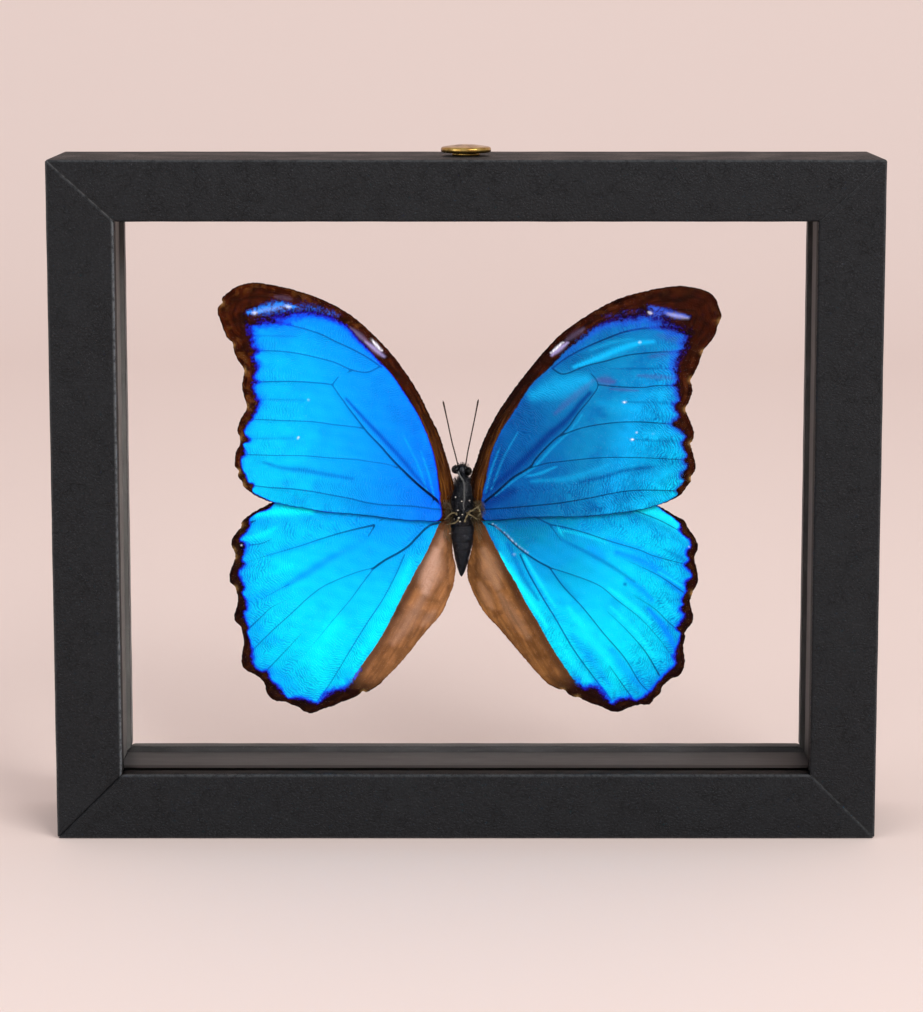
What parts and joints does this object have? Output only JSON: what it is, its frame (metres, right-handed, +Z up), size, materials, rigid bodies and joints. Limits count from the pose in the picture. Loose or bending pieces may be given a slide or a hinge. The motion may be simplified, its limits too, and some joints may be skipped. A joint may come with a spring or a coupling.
{
  "type": "framed butterfly specimen",
  "caption": "Blue butterfly specimen floating between two panes of glass in a deep black mitred picture frame, with a small round brass stud on the top rail.",
  "frame": {"origin": "middle of the frame's flat foot, halfway between its front and back faces", "axes": "+X to the viewer's right, the front of the frame faces -Y, +Z up"},
  "size_m": [0.203, 0.035, 0.1714],
  "materials": {
    "rail": "fine-grained black wrap, satin",
    "spacer": "satin grey board",
    "pane": "clear",
    "stud": "turned, lightly aged",
    "wing": "iridescent blue scales with dark brown borders",
    "body": "matte, finely haired",
    "antenna": "matte chitin",
    "glue": "clear adhesive"
  },
  "bodies": {
    "root": {"rail_top": "rail", "rail_bottom": "rail", "rail_left": "rail", "rail_right": "rail", "spacer_top": "spacer", "spacer_bottom": "spacer", "spacer_left": "spacer", "spacer_right": "spacer", "pane_front": "pane", "pane_rear": "pane", "hanging_stud": "stud", "forewing_left": "wing", "forewing_right": "wing", "hindwing_left": "wing", "hindwing_right": "wing", "body": "body", "antenna_left": "antenna", "antenna_right": "antenna", "glue_dab": "glue"}
  },
  "joints": []
}
